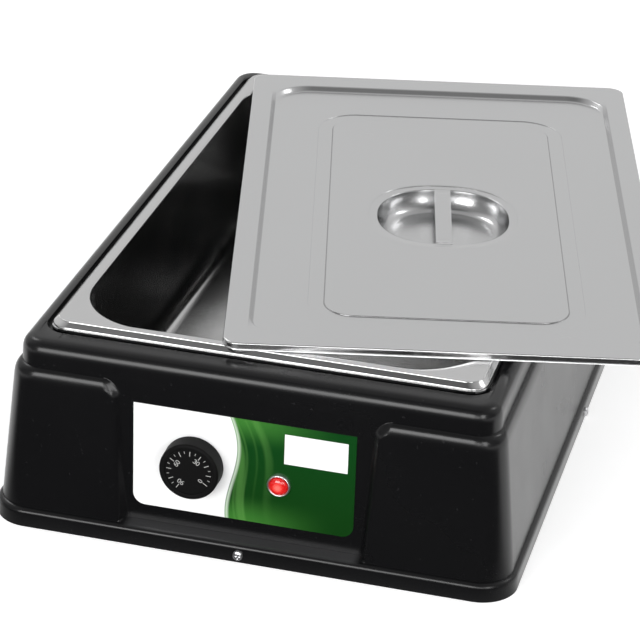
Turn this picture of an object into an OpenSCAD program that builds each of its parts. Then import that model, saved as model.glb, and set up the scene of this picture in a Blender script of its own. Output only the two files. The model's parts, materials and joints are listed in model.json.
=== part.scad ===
// Chocolate melting tank: a drafted plastic housing with a dry heated well,
// a lift-out gastronorm pan and a loose lid laid askew on the rim of the pan.
// Origin in the middle of the base plate's underside, level with the skirt's lower edge,
// X right, Y to the back, Z up, millimetres.

/* [Housing] */
// Width of the housing on each long side of the pan, from rim to skirt
side_band = 35; // [33:0.5:38]
// Depth of the housing before and behind the pan, from rim to skirt
end_band = 35; // [33:0.5:40]
// Height of the flat top band above the base
top_z = 146.5; // [144.5:0.5:149.5]
// Height of the shoulder edge above the base
shoulder_z = 125; // [120.5:0.5:126.5]
// Height of the skirt's top edge above the base
ledge_z = 13.5; // [12.5:0.5:15]
// Inward slope of the long sides from skirt to shoulder
side_slope = 14.5; // [11:0.5:15]
// Inward slope of the front and back from skirt to shoulder
end_slope = 8; // [7:0.5:9]
// Step from the shoulder edge in to the collar
collar_step = 4.6; // [4.2:0.1:5]
// Round of the collar's upper edge
top_round = 10.5; // [8:0.5:11]
// Plan radius of the skirt corners
corner_r = 28; // [24:1:34]
// Thickness of the formed plastic sheet
wall = 3.5; // [3:0.1:4]

/* [Control bay] */
// Sideways place of the bay's middle
bay_x = -4; // [-8:1:4]
// Half width of the bay at its floor
bay_half = 91; // [90:0.5:94]
// Outward lean of the bay's side edges per millimetre of height
bay_lean = 0.065; // [0.03:0.005:0.08]
// Length over which the bay's side edges turn inward
bay_run = 9; // [7:0.5:11]
// Radius of the shoulder corners beside the bay
bay_top_r = 12; // [9:0.5:14]
// Width of the label plate
label_w = 166; // [150:1:168]
// Height of the label plate
label_h = 83; // [76:1:84]
// Height of the label's middle above the base
label_z = 70; // [68.5:0.5:71.5]
// Height of the knob axis above the base
knob_z = 69; // [65:0.5:71]
// Height of the pilot lamp above the base
lamp_z = 62.5; // [59:0.5:65]
// Sideways place of the knob axis
knob_x = -42; // [-48:0.5:-38]
// Sideways place of the pilot lamp
lamp_x = 22; // [16:0.5:28]

/* [Knob] */
// Diameter of the knob at its back
knob_d = 45; // [44:0.5:50]
// Diameter of the knob's flat dial face
dial_d = 39; // [37:0.5:40]
// Height of the round between the knob's side and its face
knob_edge = 2.6; // [1.5:0.1:3]
// Total height of the knob above its back
knob_h = 13.5; // [12.5:0.5:16]
// Diameter of the thermostat shaft
shaft_d = 6; // [5.5:0.1:6.5]

/* [Pan] */
// Width over the pan's rim, gastronorm 1/1
pan_w = 325; // [323:0.5:326]
// Length over the pan's rim, gastronorm 1/1
pan_l = 530; // [526:0.5:531]
// Depth from the rim to the underside of the floor
pan_depth = 100; // [92:1:102]
// Width of the flat rim on the long sides and ends
rim_flat = 11.5; // [10.5:0.1:11.8]
// Plan radius of the pan's opening
open_r = 58; // [50:1:62]
// Height of the rim's turned down edge
lip_h = 5.3; // [4.8:0.1:6]
// Sheet thickness of the pan
pan_t = 0.8; // [0.7:0.05:1]
// Inward slope of the pan's walls from rim to floor
pan_slope = 8; // [6:0.5:9]
// Round between the pan's walls and its floor
floor_bend = 14; // [10:0.5:16]

/* [Lid] */
// Turn of the lid on the pan, seen from above
lid_turn = 13.6; // [13:0.1:14]
// Sideways place of the lid's middle
lid_x = 65.5; // [64:0.5:67]
// Place of the lid's middle to the back
lid_y = 32; // [31:0.5:33]
// Height of the lid's turned down edge
lid_h = 5.2; // [5:0.1:6.5]
// Sheet thickness of the lid
lid_t = 0.9; // [0.8:0.05:1.1]
// Half width of the lid's sunk field
field_w = 145; // [140:0.5:148]
// Half length of the lid's sunk field
field_l = 242; // [236:0.5:246]
// Rise of the lid's middle panel above the sunk field
panel_rise = 1.8; // [1.2:0.1:2.4]
// Radius of the finger bowl
bowl_r = 51; // [48:0.5:54]
// Depth of the finger bowl below the middle panel
bowl_depth = 17; // [14:0.5:19]
// Width of the grip strap across the bowl
strap_w = 13; // [10:0.5:16]
// Thickness of the grip strap
strap_t = 1.5; // [1.2:0.1:2]

/* [Hidden] */
$fn = 64;

// Small amount by which a cutter passes a face
cut_over = 1;
// Clearance between parts that slip together
slip = 0.05;
// Radial clearance of a shaft that turns in a bore
run_fit = 0.05;

// Points of a quarter arc in a plan
function quarter(cx, cy, r, a0, n) =
  [for (i = [0 : n]) [cx + r * cos(a0 + 90 * i / n), cy + r * sin(a0 + 90 * i / n)]];

// Smooth step from 0 to 1
function ease(u) = (1 - cos(180 * u)) / 2;

// Rounded rectangle ring, s holds half width, half depth, corner radius, height and depth offset
function ring(s, n) =
  [for (p = concat(
    quarter(s[0] - s[2], s[4] - s[1] + s[2], s[2], -90, n),
    quarter(s[0] - s[2], s[4] + s[1] - s[2], s[2], 0, n),
    quarter(s[2] - s[0], s[4] + s[1] - s[2], s[2], 90, n),
    quarter(s[2] - s[0], s[4] - s[1] + s[2], s[2], 180, n))) [p[0], p[1], s[3]]];

// Point on the way from section p to section q, at distance c
function toward(p, q, c) = p + (q - p) * (c / norm([q[0] - p[0], q[3] - p[3]]));

// Rounded turn of a section path at p, cut back by c on both sides
function bend(a, p, b, c, n) =
  [for (i = [0 : n])
    let (t = i / n)
    (1 - t) * (1 - t) * toward(p, a, c) + 2 * t * (1 - t) * p + t * t * toward(p, b, c)];

// Section on the straight way from a to b at height z
function at_height(a, b, z) = a + (b - a) * ((z - a[3]) / (b[3] - a[3]));

// Middle of a ring
function middle(r) = [for (k = [0 : 2]) (min([for (p = r) p[k]]) + max([for (p = r) p[k]])) / 2];

// Solid through a list of rings, closed by flat fans over the first and the last ring
module loft(rings) {
  n = len(rings[0]);
  m = len(rings);
  polyhedron(
    points = concat([for (r = rings) each r], [middle(rings[0]), middle(rings[m - 1])]),
    faces = concat(
      [for (i = [0 : n - 1]) [m * n, i, (i + 1) % n]],
      [for (j = [0 : m - 2], i = [0 : n - 1]) [j * n + i, j * n + n + i, j * n + n + (i + 1) % n]],
      [for (j = [0 : m - 2], i = [0 : n - 1]) [j * n + i, j * n + n + (i + 1) % n, j * n + (i + 1) % n]],
      [for (i = [0 : n - 1]) [m * n + 1, (m - 1) * n + (i + 1) % n, (m - 1) * n + i]]),
    convexity = 8);
}

// Flat rounded rectangle with true arcs
module plan(hw, hd, r) {
  square([2 * (hw - r), 2 * hd], center = true);
  square([2 * hw, 2 * (hd - r)], center = true);
  for (x = [-1, 1], y = [-1, 1])
    translate([x * (hw - r), y * (hd - r)]) circle(r);
}

// Cylinder along Y from y0 to y1
module along_y(d, y0, y1) {
  translate([0, y0, 0]) rotate([-90, 0, 0]) cylinder(d = d, h = y1 - y0);
}

// Cylinder along X from x0 to x1
module along_x(d, x0, x1) {
  translate([x0, 0, 0]) rotate([0, 90, 0]) cylinder(d = d, h = x1 - x0);
}

// Quarter bend of a round bar, from the X axis to the Y axis of its own plane
module elbow(d, r) {
  rotate_extrude(angle = 90) translate([r, 0]) circle(d = d, $fn = 24);
}

// Housing sections
// Depth of the ledge on top of the skirt
ledge_side = 5;
ledge_end = 4.3;
// Rise of the ledge to its inner corner
ledge_rise = 1;
// Rise of the shoulder to the collar's foot
step_rise = 2;
// Inward slope of the collar
collar_slope = 0.8;
// Drop of the plan radius from skirt to ledge, shoulder and collar
ledge_r_drop = 4;
shoulder_r_drop = 7;
collar_r_drop = 9;
half_w = pan_w / 2 + side_band;
half_d = pan_l / 2 + end_band;
bay_plane = half_d - end_slope - collar_step;
sec_foot = [half_w, half_d, corner_r, 0, 0];
sec_edge = [half_w, half_d, corner_r, ledge_z, 0];
sec_ledge = [half_w - ledge_side, half_d - ledge_end, corner_r - ledge_r_drop, ledge_z + ledge_rise, 0];
sec_shoulder = [half_w - side_slope, half_d - end_slope, corner_r - shoulder_r_drop, shoulder_z, 0];
sec_collar = [half_w - side_slope - collar_step, bay_plane, corner_r - collar_r_drop, shoulder_z + step_rise, 0];
sec_top = [half_w - side_slope - collar_step - collar_slope, bay_plane - collar_slope,
  corner_r - collar_r_drop - collar_slope, top_z, 0];
sec_flat = sec_top - [top_round + 2, top_round + 2, top_round + 2, 0, 0];
// Cut backs of the rounded turns
edge_cut = 3;
ledge_cut = 1.7;
shoulder_cut = 3.2;
collar_cut = 1.5;

// Height over which the bay's floor turns up into its back
bay_floor_h = 7;
// Radius of the bay's lower corners, seen from the front
bay_low_r = 9;
// Height of the bay's lower corner centres
bay_low_z = ledge_z + 13;
// Height at which the shoulder corners start
bay_top_z = shoulder_z - bay_top_r;

// Half width of the bay at height z
function bay_edge(z) =
  let (low = min(max(bay_low_z - z, 0), bay_low_r))
  let (high = min(max(z - bay_top_z, 0), bay_top_r))
  bay_half + bay_lean * (z - bay_low_z)
  - (bay_low_r - sqrt(bay_low_r * bay_low_r - low * low))
  + (bay_top_r - sqrt(bay_top_r * bay_top_r - high * high));

// Half depth of the bay's back for a section
function bay_back(s) =
  let (u = min(max((s[3] - sec_ledge[3] + ledge_rise / 2) / bay_floor_h, 0), 1))
  min(s[1], bay_plane + (s[1] - bay_plane) * pow(1 - u, 3));

// Housing ring: rounded rectangle whose front edge steps back into the bay
function housing_ring(s) =
  let (e = bay_edge(s[3]), y0 = s[1], y1 = bay_back(s), n = 8)
  concat(
    ring(s, 7),
    [for (i = [0 : n]) [bay_x - e + bay_run * (i / n - 0.5), -y0 + (y0 - y1) * ease(i / n), s[3]]],
    [for (i = [0 : n]) [bay_x + e + bay_run * (i / n - 0.5), -y1 + (y1 - y0) * ease(i / n), s[3]]]);

// Heights of the wall rings above the ledge
low_wall = [for (h = [0.56, 0.67, 0.81, 1, 1.29, 1.57, 1.86, 2.29]) ledge_z + h * bay_floor_h];
high_wall = [for (h = [0, 0.35, 0.55, 0.7]) bay_top_z + h * bay_top_r];

housing_path = concat(
  [sec_foot],
  bend(sec_foot, sec_edge, sec_ledge, edge_cut, 4),
  bend(sec_edge, sec_ledge, sec_shoulder, ledge_cut, 4),
  [for (z = concat(low_wall, high_wall)) at_height(sec_ledge, sec_shoulder, z)],
  bend(sec_ledge, sec_shoulder, sec_collar, shoulder_cut, 5),
  bend(sec_shoulder, sec_collar, sec_top, collar_cut, 3),
  bend(sec_collar, sec_top, sec_flat, top_round, 7),
  [sec_flat]);

// Pan, well and seat values
// Offset of the pan to the back
pan_y = 4;
// Depth of the well's seat below the top band
seat_drop = 1;
// Depth of the groove around the seat below the top band
groove_drop = 4.2;
// Gap between the pan's rim and the outer edge of the groove
seat_gap = 4.4;
// Reach of the seat beyond the pan's rim
seat_reach = 0.8;
// Plan radius of the rim's outer corners
rim_r = 14;
seat_z = top_z - seat_drop;
// Sheet thickness of the heated well
well_t = 1.2;
// Width of the seat below the well's flange
well_flange = 7.6;
// Play around the pan inside the well at the opening
well_play = 3;
// Gap between the well's wall and the edge of the housing's opening
well_gap = 1;
// Round between the well's wall and its flange
well_turn = 0.9;
// Drop of the plan radius from the well's wall to the housing's opening
well_gap_r = 11;
// Gap between the pan's floor and the well's floor
floor_gap = 1;
rim_z = seat_z + well_t + lip_h;
pan_z = rim_z - pan_depth;
pan_open_w = pan_w / 2 - rim_flat;
pan_open_l = pan_l / 2 - rim_flat;
well_open_w = pan_open_w + well_play;
well_open_l = pan_open_l + well_play;
well_open_r = open_r + well_play;
well_z = pan_z - floor_gap - well_t;
cavity_z = top_z - groove_drop - wall;

// Front face of the bay's back and inner face of the front wall
panel_y = -bay_plane;
inner_y = panel_y + wall;
// Inner face of the back wall below the shoulder
back_inner = half_d - end_slope - wall - 0.5;
// Height of the straight pocket inside the skirt
pocket_z = ledge_z - 1.5;
// Height where the back wall steps in below the shoulder
step_in_z = shoulder_z - 8;

cavity_path = let (
  low_l = (back_inner - inner_y) / 2,
  low_y = (back_inner + inner_y) / 2,
  top_l = -inner_y,
  r = corner_r - collar_r_drop - wall)
  [[sec_ledge[0] - wall - 1, low_l, r, pocket_z - cut_over, low_y],
   [sec_shoulder[0] - wall, low_l, r, step_in_z, low_y],
   [sec_top[0] - wall, top_l, r, step_in_z + 5, 0],
   [sec_top[0] - wall, top_l, r, cavity_z, 0]];

// Base plate
// Sheet thickness of the base plate
plate_t = 1.2;
// Thickness of the skirt
skirt_t = 3.6;
plate_w = half_w - skirt_t - slip;
plate_d = half_d - skirt_t - slip;
plate_r = corner_r - skirt_t;
plate_top = plate_t;

// Screws of the skirt
// Height of the screws above the base
screw_z = 6;
screw_d = 4;
screw_head_d = 8;
screw_head_h = 2.6;
screw_len = 10;
clip_t = 2;
clip_w = 11;
clip_h = 8;
// Places of the screws on the skirt: turn about Z, distance of the face, sideways place
screw_places = [[0, half_d, bay_x], [90, half_w, 0], [180, half_d, 0], [270, half_w, 0]];

// Put children on the skirt: the skirt's face lies at Y zero, looking to minus Y
module on_skirt() {
  for (p = screw_places)
    rotate([0, 0, p[0]]) translate([p[2], -p[1], screw_z]) children();
}

// Cross recess of a screw head of diameter d, cut along Y from its outer face
module cross_recess(d, depth) {
  for (a = [0, 90])
    rotate([0, a, 0]) translate([-d * 0.3, -cut_over, -d * 0.075]) cube([d * 0.6, depth + cut_over, d * 0.15]);
}

// Domed screw head whose back lies at Y zero and which stands out to minus Y
module screw_head(d, h) {
  difference() {
    rotate([90, 0, 0])
      rotate_extrude()
        polygon([[0, 0], [d / 2, 0], [d / 2, h * 0.35], [d * 0.44, h * 0.7], [d * 0.3, h * 0.94], [0, h]]);
    translate([0, -h, 0]) cross_recess(d, h * 0.55);
  }
}

// Controls
// Thickness of the label plate
label_t = 0.4;
// Clearance hole around the shaft
shaft_hole_d = 10;
label_x = bay_x - 1;
label_r = 9;
label_y = panel_y - label_t;
// Gap between the knob and the label
knob_gap = 1;
knob_back = label_y - knob_gap;
thermo_w = 36;
thermo_h = 36;
thermo_l = 24;
thermo_screw_x = 14;
thermo_screw_d = 3;
lamp_hole_d = 11;
bezel_d = 17.5;
bezel_h = 2.6;
lens_d = 13.6;
lens_h = 5;
lamp_l = 22;

// Gland in the back wall
gland_x = -70;
gland_z = 39.5;
gland_d = 16;
gland_flange_d = 24;
gland_flange_t = 4;
gland_bore_d = 8;
gland_nut_t = 5;
gland_face = back_inner + wall;

// Screws of the well's flange
well_screw_d = 2.9;
well_screw_head_d = 5;
well_screw_len = 4.4;
well_screw_w = well_open_w + well_t + 3.6;
well_screw_l = well_open_l + well_t + 3.6;
well_screw_y = pan_l * 0.264;
well_screw_x = pan_w * 0.215;

module on_flange() {
  for (x = [-1, 1], y = [-1, 1]) {
    translate([x * well_screw_w, pan_y + y * well_screw_y, seat_z + well_t]) children();
    translate([x * well_screw_x, pan_y + y * well_screw_l, seat_z + well_t]) children();
  }
}

module housing_shell() {
  color([0.03, 0.03, 0.035])
  difference() {
    loft([for (s = housing_path) housing_ring(s)]);
    loft([for (s = cavity_path) ring(s, 5)]);
    translate([0, 0, -cut_over])
      linear_extrude(pocket_z + cut_over) plan(plate_w + slip, plate_d + slip, plate_r + slip);
    translate([0, pan_y, seat_z])
      linear_extrude(seat_drop + cut_over) plan(pan_w / 2 + seat_gap, pan_l / 2 + seat_gap, rim_r + seat_gap);
    translate([0, pan_y, top_z - groove_drop])
      linear_extrude(groove_drop + cut_over)
        difference() {
          plan(pan_w / 2 + seat_gap, pan_l / 2 + seat_gap, rim_r + seat_gap);
          plan(pan_w / 2 + seat_reach, pan_l / 2 + seat_reach, rim_r + seat_reach);
        }
    translate([0, pan_y, cavity_z - cut_over])
      linear_extrude(top_z - cavity_z + 2 * cut_over)
        plan(well_open_w + well_t + well_gap, well_open_l + well_t + well_gap, well_open_r - well_gap_r);
    on_skirt() along_y(screw_d + 2 * slip, -cut_over, skirt_t + cut_over);
    on_flange() translate([0, 0, -well_t - well_screw_len]) cylinder(d = well_screw_d + 2 * slip, h = well_screw_len);
    translate([knob_x, 0, knob_z]) along_y(shaft_hole_d, panel_y - cut_over, inner_y + cut_over);
    for (x = [-1, 1])
      translate([knob_x + x * thermo_screw_x, 0, knob_z])
        along_y(thermo_screw_d + 2 * slip, panel_y - cut_over, inner_y + cut_over);
    translate([lamp_x, 0, lamp_z]) along_y(lamp_hole_d, panel_y - cut_over, inner_y + cut_over);
    translate([gland_x, 0, gland_z]) {
      along_y(gland_d + 2 * slip, back_inner - cut_over, half_d);
      along_y(gland_flange_d + 4, gland_face, half_d + cut_over);
    }
  }
}

// Shallow sheet tray that closes the housing from below
earth_x = 50;
earth_y = half_d - 74;
earth_d = 4;
module base_plate() {
  color([0.62, 0.63, 0.64])
  difference() {
    linear_extrude(pocket_z - slip) plan(plate_w, plate_d, plate_r);
    translate([0, 0, plate_top])
      linear_extrude(pocket_z) plan(plate_w - plate_t, plate_d - plate_t, plate_r - plate_t);
    on_skirt() along_y(screw_d + 2 * slip, 0, skirt_t + plate_t + cut_over);
    translate([earth_x, earth_y, -cut_over]) cylinder(d = earth_d + 2 * slip, h = pocket_z);
  }
}

module base_screws() {
  color([0.72, 0.73, 0.75])
  on_skirt() {
    screw_head(screw_head_d, screw_head_h);
    along_y(screw_d, 0, screw_len);
  }
}

// Spring clips that take the skirt screws behind the tray's turned up edge
module clip_nuts() {
  color([0.45, 0.46, 0.48])
  on_skirt()
    difference() {
      translate([-clip_w / 2, skirt_t + slip + plate_t, plate_top - screw_z]) cube([clip_w, clip_t, clip_h]);
      along_y(screw_d + 2 * slip, 0, screw_len);
    }
}

// Well and pan as bent sheet: underside first, over the rim, then the inside
function tub_path(w, l, r, slope, t, z_floor, z_rim, out_w, out_l, out_r, lip, chamfer, turn, floor_turn) =
  let (
    inner = 34,
    a0 = [w - slope - inner, l - slope - inner, r - inner, z_floor, pan_y],
    a1 = [w - slope, l - slope, r - slope, z_floor, pan_y],
    a2 = [w + t, l + t, r + t, z_rim - t, pan_y],
    a3 = [out_w - t, out_l - t, out_r - t, z_rim - t, pan_y],
    a4 = [out_w - t, out_l - t, out_r - t, z_rim - t - lip, pan_y],
    a5 = [out_w, out_l, out_r, z_rim - t - lip, pan_y],
    a6 = [out_w, out_l, out_r, z_rim - chamfer, pan_y],
    a7 = [out_w - chamfer, out_l - chamfer, out_r - chamfer / 2, z_rim, pan_y],
    a8 = [w, l, r, z_rim, pan_y],
    a9 = [w - slope - t, l - slope - t, r - slope - t, z_floor + t, pan_y],
    b0 = [w - slope - inner, l - slope - inner, r - inner, z_floor + t, pan_y])
  concat(
    [a0],
    bend(a0, a1, a2, floor_turn, 5),
    bend(a1, a2, a3, turn, 2),
    lip > 0 ? [a3, a4, a5] : [[out_w, out_l, out_r, z_rim - t, pan_y]],
    chamfer > 0 ? [a6, a7] : [[out_w, out_l, out_r, z_rim, pan_y]],
    bend(a7, a8, a9, turn, 3),
    bend(a8, a9, b0, floor_turn, 5),
    [b0]);

module heating_well() {
  color([0.74, 0.75, 0.77])
  difference() {
    loft([for (s = tub_path(well_open_w, well_open_l, well_open_r, pan_slope, well_t, well_z, seat_z + well_t,
      well_open_w + well_t + well_flange, well_open_l + well_t + well_flange, rim_r - 2, 0, 0, well_turn, floor_bend))
      ring(s, 6)]);
    on_flange() translate([0, 0, -well_t - cut_over])
      cylinder(d = well_screw_d + 2 * slip, h = well_t + 2 * cut_over);
  }
}

module well_screws() {
  color([0.72, 0.73, 0.75])
  on_flange() {
    rotate([-90, 0, 0]) screw_head(well_screw_head_d, 1.6);
    translate([0, 0, -well_t - well_screw_len + 0.4]) cylinder(d = well_screw_d, h = well_t + well_screw_len - 0.4);
  }
}

// Heating stack below the well
mat_in_w = 42.5;
mat_in_l = 65;
mat_w = pan_w - 2 * mat_in_w;
mat_l = pan_l - 2 * mat_in_l;
mat_t = 1.6;
mat_r = 12;
pad_t = 18;
pad_in = 3;
hold_t = 1;
hold_in = 10;
stud_d = 4;
stud_x = mat_w * 0.375;
stud_y = mat_l * 0.375;
stud_tail = 4.6;
nut_t = 3.2;
mat_z = well_z - mat_t;
pad_z = mat_z - pad_t;
hold_z = pad_z - hold_t;

module at_studs() {
  for (x = [-1, 1], y = [-1, 1])
    translate([x * stud_x, pan_y + y * stud_y, 0]) children();
}

module stack_sheet(z, w, l, t) {
  difference() {
    translate([0, pan_y, z]) linear_extrude(t) plan(w / 2, l / 2, mat_r);
    at_studs() translate([0, 0, z - cut_over]) cylinder(d = stud_d + 2 * slip, h = t + 2 * cut_over);
  }
}

module heater_mat() {
  color([0.72, 0.28, 0.12]) stack_sheet(mat_z, mat_w, mat_l, mat_t);
}

module insulation_pad() {
  color([0.86, 0.83, 0.74]) stack_sheet(pad_z, mat_w - 2 * pad_in, mat_l - 2 * pad_in, pad_t);
}

module hold_plate() {
  color([0.66, 0.67, 0.69]) stack_sheet(hold_z, mat_w - 2 * hold_in, mat_l - 2 * hold_in, hold_t);
}

module well_studs() {
  color([0.7, 0.7, 0.72])
  at_studs() translate([0, 0, hold_z - stud_tail]) cylinder(d = stud_d, h = well_z - hold_z + stud_tail);
}

module stud_nuts() {
  color([0.7, 0.7, 0.72])
  at_studs() translate([0, 0, hold_z - nut_t])
    difference() {
      cylinder(d = 8, h = nut_t, $fn = 6);
      translate([0, 0, -cut_over]) cylinder(d = stud_d + 2 * slip, h = nut_t + 2 * cut_over);
    }
}

// Thermal cut-out held against the well's floor behind the mat
cutout_d = 16;
cutout_h = 8;
beside_mat = 11;
cutout_y = pan_y + mat_l / 2 + beside_mat;
module safety_cutout() {
  color([0.82, 0.8, 0.72])
  translate([0, cutout_y, well_z - cutout_h]) {
    cylinder(d = cutout_d, h = cutout_h);
    for (x = [-1, 1])
      translate([x * 4 - 1.5, -0.4, -7]) cube([3, 0.8, 7]);
  }
}

// Sensor bulb below the well's floor in front of the mat
bulb_d = 6;
bulb_l = 80;
bulb_y = pan_y - mat_l / 2 - beside_mat;
bulb_z = well_z - bulb_d / 2;
bulb_x0 = -44;
module sensor_bulb() {
  color([0.72, 0.45, 0.28])
  translate([0, bulb_y, bulb_z]) along_x(bulb_d, bulb_x0, bulb_x0 + bulb_l);
}

clip_sheet = 0.8;
clip_len = 8;
module bulb_clips() {
  color([0.7, 0.7, 0.72])
  for (x = [bulb_x0 + 15, bulb_x0 + bulb_l - 15 - clip_len])
    translate([x, bulb_y, bulb_z])
      difference() {
        union() {
          along_x(bulb_d + 2 * slip + 2 * clip_sheet, 0, clip_len);
          translate([0, -bulb_d / 2 - 6, bulb_d / 2 - clip_sheet]) cube([clip_len, bulb_d + 12, clip_sheet]);
          translate([0, -bulb_d / 2 - clip_sheet - slip, 0])
            cube([clip_len, bulb_d + 2 * (clip_sheet + slip), bulb_d / 2]);
        }
        along_x(bulb_d + 2 * slip, -cut_over, clip_len + cut_over);
        translate([-cut_over, -bulb_d / 2 - slip, 0]) cube([clip_len + 2 * cut_over, bulb_d + 2 * slip, bulb_d]);
        translate([-cut_over, -bulb_d, bulb_d / 2]) cube([clip_len + 2 * cut_over, 2 * bulb_d, bulb_d]);
      }
}

// Fine copper tube from the thermostat's side to the bulb
tube_d = 2;
tube_r = 6;
tube_out = 2;
tube_x = knob_x - thermo_w / 2 - tube_out - tube_r;
tube_y = inner_y + thermo_l / 2;
tube_z = knob_z - thermo_h / 9;
module capillary_tube() {
  color([0.75, 0.48, 0.3]) {
    translate([0, tube_y, tube_z]) along_x(tube_d, tube_x + tube_r, knob_x - thermo_w / 2);
    translate([tube_x + tube_r, tube_y, tube_z - tube_r]) rotate([90, 0, 180]) elbow(tube_d, tube_r);
    translate([tube_x, tube_y, bulb_z + tube_r]) cylinder(d = tube_d, h = tube_z - bulb_z - 2 * tube_r);
    translate([tube_x, tube_y + tube_r, bulb_z + tube_r]) rotate([-90, 0, -90]) elbow(tube_d, tube_r);
    translate([tube_x, 0, bulb_z]) along_y(tube_d, tube_y + tube_r, bulb_y - tube_r);
    translate([tube_x + tube_r, bulb_y - tube_r, bulb_z]) rotate([0, 0, 90]) elbow(tube_d, tube_r);
    translate([0, bulb_y, bulb_z]) along_x(tube_d, tube_x + tube_r, bulb_x0);
  }
}

// Capillary thermostat behind the bay's back
shaft_in = 12;
module thermostat_body() {
  color([0.88, 0.86, 0.8])
  translate([knob_x, 0, knob_z])
    difference() {
      union() {
        translate([-thermo_w / 2, inner_y, -thermo_h / 2]) cube([thermo_w, thermo_l, thermo_h]);
        for (x = [-1, 1])
          translate([x * 8 - 3, inner_y + thermo_l, -thermo_h / 2 + 4]) cube([6, 1, 9]);
      }
      along_y(shaft_d + 2 * run_fit, inner_y - cut_over, inner_y + shaft_in + 0.5);
      for (x = [-1, 1])
        translate([x * thermo_screw_x, 0, 0]) along_y(thermo_screw_d + 2 * slip, inner_y - cut_over, inner_y + 8);
    }
}

thermo_head_d = 5.2;
thermo_head_h = 0.8;
module thermostat_screws() {
  color([0.72, 0.73, 0.75])
  for (x = [-1, 1])
    translate([knob_x + x * thermo_screw_x, 0, knob_z]) {
      along_y(thermo_head_d, panel_y - thermo_head_h, panel_y);
      along_y(thermo_screw_d, panel_y, inner_y + 7);
    }
}

// Shaft with a flat towards the top for the knob
shaft_out = 9;
flat_depth = 1.4;
// Flat of a turned shaft of diameter d, seen along Y
module shaft_section(d) {
  difference() {
    circle(d = d);
    translate([-d, d / 2 - flat_depth]) square([2 * d, d]);
  }
}

module thermostat_shaft() {
  color([0.78, 0.74, 0.6])
  translate([knob_x, 0, knob_z]) {
    along_y(shaft_d, knob_back, inner_y + shaft_in);
    translate([0, knob_back, 0]) rotate([90, 0, 0]) linear_extrude(shaft_out) shaft_section(shaft_d);
  }
}

// Round knob with a slightly tapered side, a soft front edge and a flat dial face, hollow behind
knob_taper = 0.6;
knob_wall = 2.2;
knob_front_t = 4;
hub_d = shaft_d + 7;
knob_rim = knob_d / 2 - knob_taper;
knob_flat = dial_d / 2;
module thermostat_knob() {
  color([0.04, 0.04, 0.045])
  translate([knob_x, knob_back, knob_z])
    rotate([90, 0, 0])
      difference() {
        rotate_extrude()
          polygon(concat(
            [[0, 0], [knob_d / 2, 0]],
            [for (i = [0 : 4]) [
              knob_flat + (knob_rim - knob_flat) * cos(22.5 * i),
              knob_h - knob_edge + knob_edge * sin(22.5 * i)]],
            [[0, knob_h]]));
        translate([0, 0, -cut_over]) linear_extrude(shaft_out + cut_over + 0.3) shaft_section(shaft_d + 2 * slip);
        translate([0, 0, -cut_over])
          linear_extrude(knob_h - knob_front_t + cut_over)
            difference() {
              circle(d = knob_d - 2 * knob_taper - 2 * knob_wall);
              circle(d = hub_d);
            }
      }
}

// Printed plate on the bay's back, square above and rounded below
module control_label() {
  color([0.9, 0.92, 0.9])
  difference() {
    translate([label_x, panel_y, label_z])
      rotate([90, 0, 0])
        linear_extrude(label_t) {
          translate([-label_w / 2, -label_h / 2 + label_r]) square([label_w, label_h - label_r]);
          translate([-label_w / 2 + label_r, -label_h / 2]) square([label_w - 2 * label_r, label_r]);
          for (x = [-1, 1])
            translate([x * (label_w / 2 - label_r), -label_h / 2 + label_r]) circle(label_r);
        }
    translate([knob_x, 0, knob_z]) along_y(shaft_hole_d, label_y - cut_over, panel_y + cut_over);
    for (x = [-1, 1])
      translate([knob_x + x * thermo_screw_x, 0, knob_z])
        along_y(thermo_head_d + 2 * slip, label_y - cut_over, panel_y + cut_over);
    translate([lamp_x, 0, lamp_z]) along_y(lamp_hole_d, label_y - cut_over, panel_y + cut_over);
  }
}

// Pilot lamp: bright ring, domed lens, body through the panel and a push nut behind it
lamp_body_d = lamp_hole_d - 2 * slip;
module lamp_bezel() {
  color([0.8, 0.81, 0.83])
  translate([lamp_x, label_y, lamp_z])
    rotate([90, 0, 0])
      rotate_extrude()
        polygon([[lens_d / 2 + slip, 0], [bezel_d / 2, 0], [bezel_d / 2, bezel_h * 0.5],
          [bezel_d / 2 - 0.5, bezel_h * 0.85], [bezel_d / 2 - 1.1, bezel_h], [lens_d / 2 + slip, bezel_h * 0.8]]);
}

module lamp_lens() {
  color([0.75, 0.05, 0.05])
  translate([lamp_x, label_y, lamp_z])
    rotate([90, 0, 0])
      rotate_extrude()
        polygon([[0, 0], [lens_d / 2, 0], [lens_d / 2, lens_h * 0.45], [lens_d * 0.44, lens_h * 0.68],
          [lens_d * 0.34, lens_h * 0.86], [lens_d * 0.2, lens_h * 0.96], [0, lens_h]]);
}

module lamp_body() {
  color([0.9, 0.9, 0.88])
  translate([lamp_x, 0, lamp_z]) {
    along_y(lamp_body_d, label_y, inner_y + lamp_l);
    for (x = [-1, 1])
      translate([x * 3 - 1, inner_y + lamp_l, -0.4]) cube([2, 6, 0.8]);
  }
}

lamp_nut_d = 16;
lamp_nut_t = 1.5;
module lamp_nut() {
  color([0.7, 0.7, 0.72])
  translate([lamp_x, 0, lamp_z])
    difference() {
      along_y(lamp_nut_d, inner_y, inner_y + lamp_nut_t);
      along_y(lamp_body_d + 2 * slip, inner_y - cut_over, inner_y + lamp_nut_t + cut_over);
    }
}

// Terminal block on the base plate
block_x = knob_x;
block_y = earth_y;
block_w = 40;
block_l = 18;
block_h = 16;
block_pitch = 13;
module terminal_block() {
  color([0.85, 0.85, 0.82])
  difference() {
    translate([block_x - block_w / 2, block_y - block_l / 2, plate_top]) cube([block_w, block_l, block_h]);
    for (i = [-1 : 1])
      translate([block_x + i * block_pitch, block_y, plate_top + block_h - 5]) cylinder(d = 5, h = 5 + cut_over);
  }
}

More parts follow.
